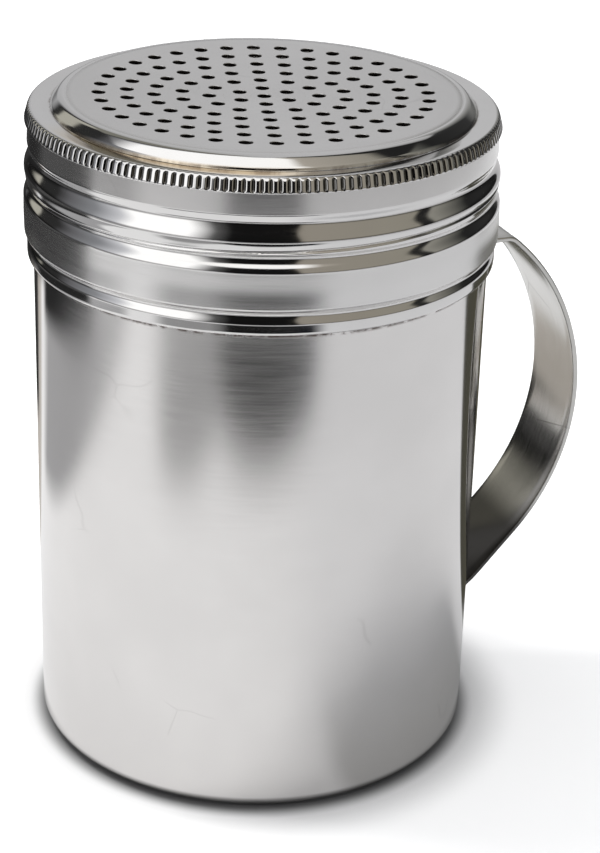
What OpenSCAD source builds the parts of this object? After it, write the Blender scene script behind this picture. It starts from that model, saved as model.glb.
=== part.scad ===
// Spice shaker with a side handle: deep-drawn cup, perforated screw lid,
// bent strap handle and its spot welds. Millimetres, base centre at the origin,
// +Z up, handle along +X.

/* [Cup] */
// outside diameter of the straight cup wall
body_d = 70; // [66:0.5:76]
// height of the cup's mouth above the table
cup_h = 102.4; // [95:0.5:112]
// thickness of the cup's sheet
cup_sheet = 0.6; // [0.5:0.1:0.8]
// outside radius where the wall turns into the floor
base_round = 2.4; // [1.8:0.2:3.6]
// how far the threaded neck stands in from the wall
neck_step = 1.0; // [0.9:0.1:1.3]

/* [Lid] */
// thickness of the lid's sheet
lid_sheet = 0.5; // [0.4:0.1:0.6]
// depth of the lid's skirt below the knurled edge
skirt_h = 23.2; // [22.5:0.2:25]
// how far the raised disc stands above the knurled edge
disc_rise = 1.7; // [1.2:0.1:2.6]
// diameter of the raised disc
disc_d = 62.6; // [60:0.5:64]
// how far the disc's middle is dished
dish = 0.7; // [0.3:0.1:1.1]
// number of knurl grooves round the edge
knurl_n = 180; // [120:4:200]

/* [Holes] */
// diameter of one sprinkle hole
hole_d = 2.0; // [1.2:0.1:2.6]
// rings of holes round the middle one
hole_rings = 6; // [3:1:6]
// distance from one ring of holes to the next
ring_pitch = 4.14; // [3.4:0.02:4.2]
// turn of all the rings from the handle's side, in degrees
hole_turn = 13.4; // [0:0.2:30]

/* [Thread] */
// rise of the thread in one turn
thread_pitch = 4.2; // [3.8:0.1:4.8]
// turns of thread on the cup and in the lid
thread_turns = 0.9; // [0.6:0.1:0.9]
// radial clearance between the two threads
thread_play = 0.35; // [0.3:0.05:0.45]

/* [Handle] */
// width of the strap
strap_w = 14.5; // [12:0.5:17]
// thickness of the strap
strap_t = 0.8; // [0.8:0.1:1.2]
// reach of the strap's outside from the cup's wall
reach = 18.8; // [18:0.4:21.2]
// height from the lid's lower edge down to the middle of the strap's top bend
lid_gap = 0.45; // [0.4:0.05:2.4]
// height where the strap comes back to the wall
handle_foot = 18; // [16:0.5:24]
// length of the upper tab
upper_tab = 10; // [8:0.5:12]
// length of the lower tab
lower_tab = 8; // [6.5:0.5:9]
// diameter of one spot weld
weld_d = 4; // [3:0.2:4.2]

/* [Hidden] */
fine = 192;
body_r = body_d / 2;
neck_r = body_r - neck_step;

// the lid is sized from the cup: its inside wall clears the body
skirt_play = 0.4;
seat_play = 0.5;
rim_out = 1.0;
skirt_in = 0.3;
skirt_flare = 0.15;
crease_in = 0.3;
crest_out = 0.6;
waist_out = 0.35;
band_out = 0.75;
bead_out = 0.05;
rib_deep = 0.25;
rim_r = body_r + rim_out;
skirt_r = body_r + skirt_play + lid_sheet - skirt_in;
crease_r = skirt_r - crease_in;
crest_r = skirt_r + crest_out;
waist_r = skirt_r + waist_out;
band_r = skirt_r + band_out;
bead_r = body_r + skirt_play + lid_sheet + bead_out;
knurl_deep = 0.35;
knurl_h = 2.1;

// heights on the lid, counted down from its knurled edge
edge_z = cup_h + lid_sheet + seat_play;
skirt_z = edge_z - skirt_h;
skirt_low = edge_z - 5.4;
crest_top = edge_z - 9.2;
crest_low = edge_z - 11.3;
band_top = edge_z - 13.8;
band_low = edge_z - 19.6;
bead_top = edge_z - 20.9;
neck_top = edge_z - 17.4;
neck_low = edge_z - 19.6;
thread_low = edge_z - 12.6;

// the raised disc
disc_r = disc_d / 2;
disc_z = edge_z + disc_rise;
disc_rim = 4;
disc_flat = disc_r - disc_rim;
disc_round = 0.9;

// radii of the lid's rib and the cup's ridge, kept one play apart
rib_r = skirt_r - rib_deep - lid_sheet;
rib_root = crest_r - 0.7 * lid_sheet;
ridge_r = rib_r - thread_play;
thread_start = 90;
thread_steps = 60;
thread_fade = 8;

// the cup's curled mouth carries the lid
mouth_round = 0.35;
mouth_curl = 1.2;
mouth_in = neck_r - 1.6;
mouth_out = neck_r - mouth_round;

// the strap's tabs stand a little off the wall, and the welds bridge that gap
weld_gap = 0.05;
weld_crown = 0.2;
weld_off = strap_w / 4 - 0.1;
handle_top = skirt_z - lid_gap;
weld_up = handle_top - upper_tab + weld_d / 2 + 1;
weld_low = handle_foot - lower_tab + weld_d / 2 + 0.7;
tab_in = body_r + weld_gap;
tab_round = 2.5;
strap_mid = tab_in + strap_t / 2;
head_run = 4.6;
head_slope = 48.6;
foot_slope = 42.4;
knee_round = 1.4;
head_round = 2.6;
foot_round = 2.2;

function left(u) = [-u[1], u[0]];
function unit(v) = v / norm(v);
function spin(v, a) = [v[0] * cos(a) - v[1] * sin(a), v[0] * sin(a) + v[1] * cos(a)];
function arc(c, r, a0, a1, n) =
  [for (k = [0 : n]) c + r * [cos(a0 + (a1 - a0) * k / n), sin(a0 + (a1 - a0) * k / n)]];
function ramp(r0, r1, z0, z1, n) =
  [for (k = [0 : n]) [r0 + (r1 - r0) * (1 - cos(180 * k / n)) / 2, z0 + (z1 - z0) * k / n]];

// points of a path with rounded corners, moved to its left by d
function corner(p, f, i, d, n) =
  let(
    u = unit(p[i] - p[i - 1]),
    v = unit(p[i + 1] - p[i]),
    s = sign(u[0] * v[1] - u[1] * v[0]),
    a = acos(u * v),
    c = p[i] - u * f[i] * tan(a / 2) + s * f[i] * left(u)
  )
  [for (k = [0 : n]) c + (f[i] - s * d) * spin(-s * left(u), s * a * k / n)];
function path_side(p, f, d, n) =
  let(last = len(p) - 1)
  concat(
    [p[0] + d * left(unit(p[1] - p[0]))],
    [for (i = [1 : last - 1]) each corner(p, f, i, d, n)],
    [p[last] + d * left(unit(p[last] - p[last - 1]))]
  );
function back(v) = [for (i = [len(v) - 1 : -1 : 0]) v[i]];

// one helical ridge: closed section, height fading out at both ends
module helix(root, tip, low, half_root, half_tip) {
  total = floor(thread_turns * thread_steps);
  section = [[0, -1], [1, -1], [1, 1], [0, 1]];
  function grow(k) = min(1, (k + 0.6) / thread_fade, (total - k + 0.6) / thread_fade);
  points = [
    for (k = [0 : total])
      for (q = section)
        let(
          g = grow(k),
          r = root + (tip - root) * q[0] * g,
          half = (q[0] > 0 ? half_tip : half_root) * g,
          a = thread_start + 360 * k / thread_steps,
          z = low + thread_pitch * k / thread_steps + q[1] * half
        )
        [r * cos(a), r * sin(a), z]
  ];
  sides = [
    for (k = [0 : total - 1])
      for (j = [0 : 3])
        let(
          a = 4 * k + j,
          b = 4 * k + (j + 1) % 4,
          c = b + 4,
          d = a + 4
        )
        each (tip > root ? [[a, b, c], [a, c, d]] : [[c, b, a], [d, c, a]])
  ];
  end = 4 * total;
  caps = tip > root
    ? [[3, 2, 1], [3, 1, 0], [end, end + 1, end + 2], [end, end + 2, end + 3]]
    : [[1, 2, 3], [0, 1, 3], [end + 2, end + 1, end], [end + 3, end + 2, end]];
  polyhedron(points, concat(sides, caps), convexity = 8);
}

module cup_profile() {
  inner = body_r - cup_sheet;
  lip = mouth_round;
  curl_z = cup_h - mouth_curl - 0.15;
  polygon(concat(
    [[0, 0]],
    [[body_r - base_round, 0]],
    arc([body_r - base_round, base_round], base_round, -90, 0, 8),
    ramp(body_r, neck_r, neck_low, neck_top, 6),
    [[neck_r, cup_h - lip - 0.15]],
    arc([neck_r - lip, cup_h - lip], lip, 0, 90, 4),
    arc([mouth_in + lip, cup_h - lip], lip, 90, 180, 4),
    [[mouth_in, cup_h - mouth_curl]],
    arc([mouth_in + lip, curl_z], lip, 180, 270, 4),
    [[neck_r - cup_sheet, curl_z - lip]],
    ramp(neck_r - cup_sheet, inner, neck_top - 0.2, neck_low - 0.2, 6),
    arc([body_r - base_round, base_round], base_round - cup_sheet, 0, -90, 8),
    [[0, cup_sheet]]
  ));
}

module cup() {
  color([0.78, 0.78, 0.77]) {
    union() {
      rotate_extrude($fn = fine) cup_profile();
      helix(neck_r - 0.2, ridge_r, thread_low + thread_pitch / 2, 0.95, 0.35);
    }
  }
}

module lid_profile() {
  t = lid_sheet;
  dish_line = [for (k = [0 : 8]) [disc_flat * k / 8, disc_z - dish * (1 - pow(k / 8, 2))]];
  polygon(concat(
    dish_line,
    arc([disc_r - disc_round, disc_z - disc_round], disc_round, 90, 0, 5),
    [[disc_r, edge_z - 0.1]],
    arc([disc_r + 0.6, edge_z - 0.1], 0.6, 180, 270, 3),
    [[rim_r - 0.7, edge_z]],
    arc([rim_r - 0.5, edge_z - 0.5], 0.5, 80, 0, 4),
    [[rim_r, edge_z - knurl_h]],
    ramp(rim_r, skirt_r - skirt_flare, edge_z - knurl_h, edge_z - knurl_h - 0.4, 3),
    ramp(skirt_r + skirt_flare, crease_r, skirt_low, skirt_low - 1.1, 5),
    ramp(crease_r, crest_r, skirt_low - 1.3, crest_top, 6),
    ramp(crest_r, waist_r, crest_low, crest_low - 0.5, 4),
    ramp(waist_r, band_r, crest_low - 0.6, band_top, 5),
    ramp(band_r, bead_r - 0.25, band_low, bead_top, 6),
    ramp(bead_r - 0.25, bead_r, bead_top, bead_top - 0.5, 3),
    [[bead_r, skirt_z + 0.3]],
    arc([bead_r - t / 2, skirt_z + t / 2], t / 2, 0, -180, 6),
    [[bead_r - t, bead_top - 0.3]],
    ramp(bead_r - t - 0.05, band_r - t, bead_top - 0.2, band_low - 0.2, 4),
    ramp(band_r - t, waist_r - t, band_top - 0.1, crest_low - 0.7, 4),
    ramp(waist_r - t, crest_r - t, crest_low - 0.4, crest_low + 0.2, 4),
    ramp(crest_r - t, crease_r - t, crest_top - 0.1, skirt_low - 1.4, 5),
    ramp(crease_r - t, skirt_r + skirt_flare - t, skirt_low - 1, skirt_low + 0.1, 4),
    ramp(
      skirt_r - skirt_flare - t, rim_r - knurl_deep - t,
      edge_z - knurl_h - 0.6, edge_z - knurl_h, 3
    ),
    [[rim_r - knurl_deep - t, edge_z - 0.9]],
    arc([rim_r - knurl_deep - t - 0.3, edge_z - 0.8], 0.3, 0, 90, 3),
    [[mouth_out + 0.1, cup_h]],
    [[mouth_in, cup_h]],
    [[mouth_in - 0.1, cup_h - 0.2]],
    [[disc_r - t + 0.2, cup_h - 0.2]],
    [[disc_r - t, cup_h]],
    [[disc_r - t, disc_z - disc_round]],
    arc([disc_r - disc_round, disc_z - disc_round], disc_round - t, 0, 90, 4),
    [for (q = back(dish_line)) [q[0], q[1] - t]]
  ));
}

module hole() {
  cylinder(d = hole_d, h = dish + lid_sheet + 3, $fn = 24);
}

module hole_pattern() {
  translate([0, 0, disc_z - dish - lid_sheet - 1]) {
    hole();
    for (ring = [1 : hole_rings])
      for (k = [0 : 6 * ring - 1])
        rotate(60 * k / ring + hole_turn)
          translate([ring * ring_pitch, 0, 0])
            hole();
  }
}

module knurl_ring() {
  tooth = 360 / knurl_n;
  ring = [
    for (k = [0 : knurl_n - 1])
      for (j = [[0, 0.05], [0.3, 0.05], [0.5, knurl_deep], [0.7, knurl_deep]])
        let(a = tooth * (k + j[0]), r = rim_r - j[1])
        [r * cos(a), r * sin(a)]
  ];
  translate([0, 0, edge_z - knurl_h])
    linear_extrude(knurl_h - 0.2)
      difference() {
        circle(r = rim_r + 1, $fn = 60);
        polygon(ring);
      }
}

module lid() {
  color([0.82, 0.82, 0.83]) {
    difference() {
      union() {
        rotate_extrude($fn = fine) lid_profile();
        helix(rib_root, rib_r, thread_low, 0.8, 0.5);
      }
      hole_pattern();
      knurl_ring();
    }
  }
}

// outline of the strap in its own plane, reach along x and height along y
module strap_profile() {
  head = [strap_mid + head_run, handle_top];
  foot = [strap_mid, handle_foot];
  // where the head line and the foot line cross
  lean = tan(head_slope);
  back_lean = tan(foot_slope);
  rise = (head[0] - foot[0] + head[1] * lean + foot[1] * back_lean) / (lean + back_lean);
  bow = [head[0] + (head[1] - rise) * lean, rise];
  // the rounding that brings the bow's outside to its reach, within the head's straight length
  turn = head_slope + foot_slope;
  share = cos((head_slope - foot_slope) / 2) / cos(turn / 2) - 1;
  room = (norm(bow - head) - head_round * tan(head_slope / 2)) / tan(turn / 2);
  bow_round = min(room, (bow[0] + strap_t / 2 - body_r - reach) / share);
  p = [
    [strap_mid, handle_top - 3.5],
    [strap_mid, handle_top],
    head,
    bow,
    foot,
    [strap_mid, handle_foot - 3]
  ];
  f = [0, knee_round, head_round, bow_round, foot_round, 0];
  polygon(concat(
    path_side(p, f, strap_t / 2, 16),
    back(path_side(p, f, -strap_t / 2, 16))
  ));
}

module tab_plate(low, high, round_low) {
  rotate([90, 0, 90])
    linear_extrude(2 * body_r)
      union() {
        translate([-strap_w / 2, low + round_low])
          square([strap_w, high - low - round_low]);
        translate([-strap_w / 2 + round_low, low])
          square([strap_w - 2 * round_low, high - low]);
        for (side = [-1, 1])
          translate([side * (strap_w / 2 - round_low), low + round_low])
            circle(r = round_low, $fn = 32);
      }
}

module tab(low, high) {
  intersection() {
    rotate_extrude(angle = 60, start = -30, $fn = fine)
      translate([tab_in, low - 1])
        square([strap_t, high - low + 2]);
    tab_plate(low, high, tab_round);
  }
}

module handle() {
  upper_low = handle_top - upper_tab;
  lower_low = handle_foot - lower_tab;
  color([0.75, 0.75, 0.74]) {
    difference() {
      union() {
        rotate([90, 0, 0])
          linear_extrude(strap_w, center = true)
            strap_profile();
        tab(upper_low, handle_top - 2.5);
        tab(lower_low, handle_foot - 1.5);
      }
      weld_bores(weld_up);
      weld_bores(weld_low);
    }
  }
}

module weld_bores(height) {
  for (side = [-1, 1])
    rotate([0, 0, asin(side * weld_off / body_r)])
      translate([body_r - 1, 0, height])
        rotate([0, 90, 0])
          cylinder(d = weld_d, h = strap_t + 3, $fn = 48);
}

module welds(height) {
  color([0.68, 0.66, 0.64]) {
    for (side = [-1, 1])
      rotate([0, 0, asin(side * weld_off / body_r)])
        difference() {
          translate([body_r - 1, 0, height])
            rotate([0, 90, 0])
              cylinder(d = weld_d, h = strap_t + weld_gap + 1 - weld_crown / 2, $fn = 48);
          translate([0, 0, height - weld_d])
            cylinder(r = body_r, h = 2 * weld_d, $fn = fine);
        }
  }
}

module upper_welds() {
  welds(weld_up);
}

module lower_welds() {
  welds(weld_low);
}

cup();
lid();
handle();
upper_welds();
lower_welds();
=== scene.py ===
"""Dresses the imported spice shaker: steel lid, brushed cup, strap handle, welds and studio."""

import math
import random

import bmesh
import bpy
from mathutils import Matrix, Vector


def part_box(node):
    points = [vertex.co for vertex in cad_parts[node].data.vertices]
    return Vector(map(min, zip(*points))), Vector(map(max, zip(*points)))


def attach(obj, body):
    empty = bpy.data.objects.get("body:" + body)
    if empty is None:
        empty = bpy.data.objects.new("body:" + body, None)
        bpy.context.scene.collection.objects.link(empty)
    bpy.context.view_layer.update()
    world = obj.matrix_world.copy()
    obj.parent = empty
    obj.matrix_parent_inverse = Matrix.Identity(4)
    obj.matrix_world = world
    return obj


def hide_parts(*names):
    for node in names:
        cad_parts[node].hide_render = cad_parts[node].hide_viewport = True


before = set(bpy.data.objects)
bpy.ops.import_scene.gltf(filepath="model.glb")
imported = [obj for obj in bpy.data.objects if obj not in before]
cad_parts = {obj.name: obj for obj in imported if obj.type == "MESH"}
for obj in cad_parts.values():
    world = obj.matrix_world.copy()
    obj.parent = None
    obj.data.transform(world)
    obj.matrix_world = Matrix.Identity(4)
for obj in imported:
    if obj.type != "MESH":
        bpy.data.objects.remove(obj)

bl_info = {
    "name": "Spice Shaker Looks",
    "version": (1, 0, 0),
    "blender": (4, 5, 0),
    "location": "View3D > Sidebar > Shaker",
    "description": "Builds the visible pieces, materials and studio of a perforated steel shaker",
    "category": "Object",
}

MM = 0.001
SEED = 7
TURN = 2 * math.pi
STRAP_GAP = 0.05 * MM
# name of the point value that drives the painted shade in the knurl's grooves
KNURL_GROOVE_SHADE = "Knurl groove shade"
THREAD_START = 0.25
# turn from the camera's side of the painted tan reflection on the lid's shoulder
TAN_REFLECTION_TURN = math.radians(-26)
DISH_MARGIN = 4 * MM
KNURL_HEIGHT = 2.3 * MM
RIM_OUT = 1.0 * MM

# where the handle lies seen from the camera: this far behind the camera's right
HANDLE_BEHIND = math.radians(21)
FRONT = -math.pi / 2 - HANDLE_BEHIND


# ---------------------------------------------------------------- settings


class ShakerCupSettings(bpy.types.PropertyGroup):
    """Sizes of the cup's visible surface."""

    columns: bpy.props.IntProperty(
        name="Columns", description="Mesh columns round the cup", default=256, min=64)
    sheet: bpy.props.FloatProperty(
        name="Sheet", description="Thickness of the cup's sheet", default=0.6 * MM, unit="LENGTH")
    base_round: bpy.props.FloatProperty(
        name="Floor radius", description="Outside radius between wall and floor",
        default=2.4 * MM, unit="LENGTH")
    neck_step: bpy.props.FloatProperty(
        name="Neck step", description="How far the neck stands in from the wall",
        default=1.0 * MM, unit="LENGTH")
    ridge: bpy.props.FloatProperty(
        name="Thread ridge", description="Height of the rolled thread on the neck",
        default=0.5 * MM, unit="LENGTH")


class ShakerLidSettings(bpy.types.PropertyGroup):
    """Sizes of the lid's visible surface."""

    columns: bpy.props.IntProperty(
        name="Columns", description="Mesh columns round the lid's wall", default=288, min=72)
    knurl_grooves: bpy.props.IntProperty(
        name="Knurl grooves", description="Grooves round the knurled edge", default=180, min=90)
    knurl_depth: bpy.props.FloatProperty(
        name="Knurl depth", description="Depth of one knurl groove",
        default=0.45 * MM, unit="LENGTH")
    sheet: bpy.props.FloatProperty(
        name="Sheet", description="Thickness of the lid's sheet", default=0.5 * MM, unit="LENGTH")
    disc_radius: bpy.props.FloatProperty(
        name="Disc radius", description="Radius of the raised disc",
        default=31.3 * MM, unit="LENGTH")
    disc_rise: bpy.props.FloatProperty(
        name="Disc rise", description="Height of the disc above the knurled edge",
        default=1.7 * MM, unit="LENGTH")
    dish: bpy.props.FloatProperty(
        name="Dish", description="How far the disc's middle is dished",
        default=0.7 * MM, unit="LENGTH")
    hole_diameter: bpy.props.FloatProperty(
        name="Hole diameter", description="Diameter of a sprinkle hole",
        default=2.0 * MM, unit="LENGTH")
    hole_rings: bpy.props.IntProperty(
        name="Hole rings", description="Rings of holes round the middle one", default=6, min=1)
    ring_pitch: bpy.props.FloatProperty(
        name="Ring pitch", description="Distance between rings of holes",
        default=4.14 * MM, unit="LENGTH")
    hole_turn: bpy.props.FloatProperty(
        name="Hole turn", description="Turn of the rings of holes from the handle's side",
        default=math.radians(13.4), subtype="ANGLE")
    thread_pitch: bpy.props.FloatProperty(
        name="Thread pitch", description="Rise of the rolled thread in a turn",
        default=4.2 * MM, unit="LENGTH")
    thread_turns: bpy.props.FloatProperty(
        name="Thread turns", description="Turns of the rolled thread on the cup", default=0.9)


class ShakerHandleSettings(bpy.types.PropertyGroup):
    """Sizes of the strap handle."""

    width: bpy.props.FloatProperty(
        name="Width", description="Width of the strap", default=14.5 * MM, unit="LENGTH")
    thickness: bpy.props.FloatProperty(
        name="Thickness", description="Thickness of the strap", default=0.8 * MM, unit="LENGTH")
    lid_gap: bpy.props.FloatProperty(
        name="Lid gap", description="Height from the lid's lower edge to the strap's top bend",
        default=0.45 * MM, unit="LENGTH")
    reach: bpy.props.FloatProperty(
        name="Reach", description="How far the strap stands out from the cup's wall",
        default=18.8 * MM, unit="LENGTH")
    head_slope: bpy.props.FloatProperty(
        name="Head slope", description="Slope of the strap below its top bend, from upright",
        default=math.radians(48.6), subtype="ANGLE")
    foot_slope: bpy.props.FloatProperty(
        name="Foot slope", description="Slope of the strap above its foot, from upright",
        default=math.radians(42.4), subtype="ANGLE")
    foot: bpy.props.FloatProperty(
        name="Foot", description="Height where the strap comes back to the wall",
        default=18 * MM, unit="LENGTH")
    upper_tab: bpy.props.FloatProperty(
        name="Upper tab", description="Length of the upper tab", default=10 * MM, unit="LENGTH")
    lower_tab: bpy.props.FloatProperty(
        name="Lower tab", description="Length of the lower tab", default=8 * MM, unit="LENGTH")
    weld_diameter: bpy.props.FloatProperty(
        name="Weld diameter", description="Diameter of one spot weld",
        default=4 * MM, unit="LENGTH")


class ShakerStageSettings(bpy.types.PropertyGroup):
    """The camera and the light of the studio."""

    camera_distance: bpy.props.FloatProperty(
        name="Camera distance", description="Level distance from the cup's axis to the camera",
        default=0.331, unit="LENGTH")
    camera_height: bpy.props.FloatProperty(
        name="Camera height", description="Height of the camera above the floor",
        default=0.203, unit="LENGTH")
    camera_pitch: bpy.props.FloatProperty(
        name="Camera pitch", description="How far the camera looks down",
        default=math.radians(24.84), subtype="ANGLE")
    camera_yaw: bpy.props.FloatProperty(
        name="Camera yaw", description="Turn of the camera to its left",
        default=math.radians(-1.19), subtype="ANGLE")
    camera_roll: bpy.props.FloatProperty(
        name="Camera roll", description="Roll of the camera", default=math.radians(1.74),
        subtype="ANGLE")
    lens: bpy.props.FloatProperty(
        name="Lens", description="Focal length for a 36 mm long side", default=95.9)
    key_power: bpy.props.FloatProperty(
        name="Key power", description="Power of the key light in watts", default=5.0)
    fill_power: bpy.props.FloatProperty(
        name="Fill power", description="Power of the top fill light in watts", default=2.2)
    surround: bpy.props.FloatProperty(
        name="Surround", description="Brightness of the room that lights the set", default=0.55)
    floor_glow: bpy.props.FloatProperty(
        name="Floor glow", description="White added to the floor as the camera sees it",
        default=0.42)


SETTINGS = {
    "shaker_cup": ShakerCupSettings,
    "shaker_lid": ShakerLidSettings,
    "shaker_handle": ShakerHandleSettings,
    "shaker_stage": ShakerStageSettings,
}


# ---------------------------------------------------------------- mesh helpers


def polar(radius, angle, height):
    """A point at this radius, angle and height."""
    return Vector((radius * math.cos(angle), radius * math.sin(angle), height))


def smooth(low, high, value):
    """0 below low, 1 above high, a smooth step between."""
    t = min(1.0, max(0.0, (value - low) / (high - low)))
    return t * t * (3 - 2 * t)


def bump(value, half):
    """1 at 0, falling smoothly to 0 at half away."""
    t = abs(value) / half
    return 0.0 if t >= 1 else 0.5 * (1 + math.cos(math.pi * t))


def add_rings(bm, rings, closed=True, flip=False):
    """Quads between rings of points; a closed ring joins its last point to its first."""
    made = [[bm.verts.new(p) for p in ring] for ring in rings]
    count = len(rings[0])
    for lower, upper in zip(made, made[1:]):
        for i in range(count if closed else count - 1):
            j = (i + 1) % count
            corners = [lower[i], lower[j], upper[j], upper[i]]
            bm.faces.new(corners[::-1] if flip else corners)
    return made


def revolve(bm, profile, columns, flip=False):
    """Turns (radius, height) points round the axis."""
    rings = [
        [polar(r, TURN * i / columns, z) for i in range(columns)]
        for r, z in profile
    ]
    return add_rings(bm, rings, flip=flip)


def arc(centre, radius, start, stop, steps):
    """Points of an arc in the (radius, height) plane, angles in degrees."""
    return [
        (centre[0] + radius * math.cos(math.radians(start + (stop - start) * k / steps)),
         centre[1] + radius * math.sin(math.radians(start + (stop - start) * k / steps)))
        for k in range(steps + 1)
    ]


def place_mesh(bm, name, material):
    """Makes an object of the mesh and links it."""
    mesh = bpy.data.meshes.new(name)
    bm.to_mesh(mesh)
    bm.free()
    mesh.materials.append(material)
    placed = bpy.data.objects.new(name, mesh)
    bpy.context.scene.collection.objects.link(placed)
    return placed


def shade_smooth(mesh):
    """Smooth shading on every face."""
    mesh.polygons.foreach_set("use_smooth", [True] * len(mesh.polygons))


def finish_mesh(bm, name, material, body, nodes=()):
    """Joins doubled points, makes the object, shades it smooth and hands it to the frame."""
    bmesh.ops.remove_doubles(bm, verts=bm.verts, dist=1e-7)
    piece = place_mesh(bm, name, material)
    shade_smooth(piece.data)
    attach(piece, body)
    if nodes:
        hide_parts(*nodes)
    return piece


# ---------------------------------------------------------------- node helpers


def new_material(name):
    """An empty node material with its output and main shader."""
    material = bpy.data.materials.new(name)
    material.use_nodes = True
    tree = material.node_tree
    shader = tree.nodes["Principled BSDF"]
    return material, tree, shader


def maths(tree, operation, first, second=None):
    """A math node on sockets or numbers; returns its output."""
    node = tree.nodes.new("ShaderNodeMath")
    node.operation = operation
    for socket, value in zip(node.inputs, (first, second)):
        if value is None:
            continue
        if isinstance(value, (int, float)):
            socket.default_value = value
        else:
            tree.links.new(value, socket)
    return node.outputs[0]


def times(tree, first, second):
    """The product of two sockets or numbers."""
    return maths(tree, "MULTIPLY", first, second)


def plus(tree, first, second):
    """The sum of two sockets or numbers."""
    return maths(tree, "ADD", first, second)


def length_of(tree, x, y):
    """The level distance of a point from the axis."""
    return maths(tree, "SQRT", plus(tree, times(tree, x, x), times(tree, y, y)))


def object_place(tree):
    """The object coordinates of the shaded point."""
    return tree.nodes.new("ShaderNodeTexCoord").outputs["Object"]


def parts(tree, vector):
    """The three parts of a vector."""
    node = tree.nodes.new("ShaderNodeSeparateXYZ")
    tree.links.new(vector, node.inputs[0])
    return node.outputs


def relief(tree, shader, height, depth):
    """Bump of this depth on the shader's normal."""
    node = tree.nodes.new("ShaderNodeBump")
    node.inputs["Distance"].default_value = depth
    tree.links.new(height, node.inputs["Height"])
    tree.links.new(node.outputs[0], shader.inputs["Normal"])


def span(tree, value, low, high, to_low=0.0, to_high=1.0):
    """A smooth map range from low..high to to_low..to_high."""
    node = tree.nodes.new("ShaderNodeMapRange")
    node.interpolation_type = "SMOOTHSTEP"
    node.inputs["From Min"].default_value = low
    node.inputs["From Max"].default_value = high
    node.inputs["To Min"].default_value = to_low
    node.inputs["To Max"].default_value = to_high
    tree.links.new(value, node.inputs["Value"])
    return node.outputs["Result"]


def noise_node(tree, vector, scale, detail=3.0, rough=0.55):
    """A noise texture's value on this vector."""
    node = tree.nodes.new("ShaderNodeTexNoise")
    node.inputs["Scale"].default_value = scale
    node.inputs["Detail"].default_value = detail
    node.inputs["Roughness"].default_value = rough
    tree.links.new(vector, node.inputs["Vector"])
    return node.outputs["Fac"]


def combine(tree, x, y, z):
    """A vector from three sockets."""
    node = tree.nodes.new("ShaderNodeCombineXYZ")
    for socket, value in zip(node.inputs, (x, y, z)):
        if isinstance(value, (int, float)):
            socket.default_value = value
        else:
            tree.links.new(value, socket)
    return node.outputs[0]


def mix_colour(tree, factor, first, second):
    """A colour mix of two colours or sockets."""
    node = tree.nodes.new("ShaderNodeMix")
    node.data_type = "RGBA"
    sockets = node.inputs[0], node.inputs[6], node.inputs[7]
    for socket, value in zip(sockets, (factor, first, second)):
        if isinstance(value, (int, float, tuple)):
            socket.default_value = value
        else:
            tree.links.new(value, socket)
    return node.outputs[2]


def turned_finish():
    """Node group: lathe-like brushing round the Z axis, with pits, hairlines and cloudy patches."""
    group = bpy.data.node_groups.new("Turned finish", "ShaderNodeTree")
    for name in ("Streaks", "Clouds", "Pits", "Hairlines", "Radius", "Height", "X", "Y"):
        group.interface.new_socket(name, in_out="OUTPUT", socket_type="NodeSocketFloat")
    out = group.nodes.new("NodeGroupOutput")
    place = object_place(group)
    x, y, z = parts(group, place)
    radius = length_of(group, x, y)
    round_x = maths(group, "DIVIDE", x, radius)
    round_y = maths(group, "DIVIDE", y, radius)
    run = plus(group, z, radius)

    def brushed(around_scale, run_scale):
        """A vector that runs slowly round the axis and fast along the profile."""
        return combine(group, times(group, round_x, around_scale),
                       times(group, round_y, around_scale), times(group, run, run_scale))

    fine = noise_node(group, brushed(5.0, 5200.0), 1.0, 2.0)
    broad = noise_node(group, brushed(2.2, 900.0), 1.0, 3.0)
    streaks = plus(group, times(group, fine, 0.6), times(group, broad, 0.4))
    group.links.new(streaks, out.inputs["Streaks"])
    group.links.new(noise_node(group, place, 38.0, 4.0, 0.6), out.inputs["Clouds"])

    dots = group.nodes.new("ShaderNodeTexVoronoi")
    dots.inputs["Scale"].default_value = 170.0
    group.links.new(place, dots.inputs["Vector"])
    pick = group.nodes.new("ShaderNodeSeparateColor")
    group.links.new(dots.outputs["Color"], pick.inputs[0])
    near = span(group, dots.outputs["Distance"], 0.0, 0.055, 1.0, 0.0)
    rare = maths(group, "GREATER_THAN", pick.outputs[0], 0.92)
    group.links.new(times(group, near, rare), out.inputs["Pits"])

    bent = group.nodes.new("ShaderNodeVectorMath")
    bent.operation = "SCALE"
    bent.inputs["Scale"].default_value = 0.012
    wobble = group.nodes.new("ShaderNodeTexNoise")
    wobble.inputs["Scale"].default_value = 60.0
    group.links.new(place, wobble.inputs["Vector"])
    group.links.new(wobble.outputs["Color"], bent.inputs[0])
    shifted = group.nodes.new("ShaderNodeVectorMath")
    shifted.operation = "ADD"
    group.links.new(place, shifted.inputs[0])
    group.links.new(bent.outputs[0], shifted.inputs[1])
    lines = group.nodes.new("ShaderNodeTexVoronoi")
    lines.feature = "DISTANCE_TO_EDGE"
    lines.inputs["Scale"].default_value = 48.0
    group.links.new(shifted.outputs[0], lines.inputs["Vector"])
    thin = span(group, lines.outputs["Distance"], 0.0, 0.012, 1.0, 0.0)
    patch = span(group, noise_node(group, place, 55.0, 2.0), 0.60, 0.68)
    group.links.new(times(group, thin, patch), out.inputs["Hairlines"])
    for name, value in (("Radius", radius), ("Height", z), ("X", x), ("Y", y)):
        group.links.new(value, out.inputs[name])
    return group


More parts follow.
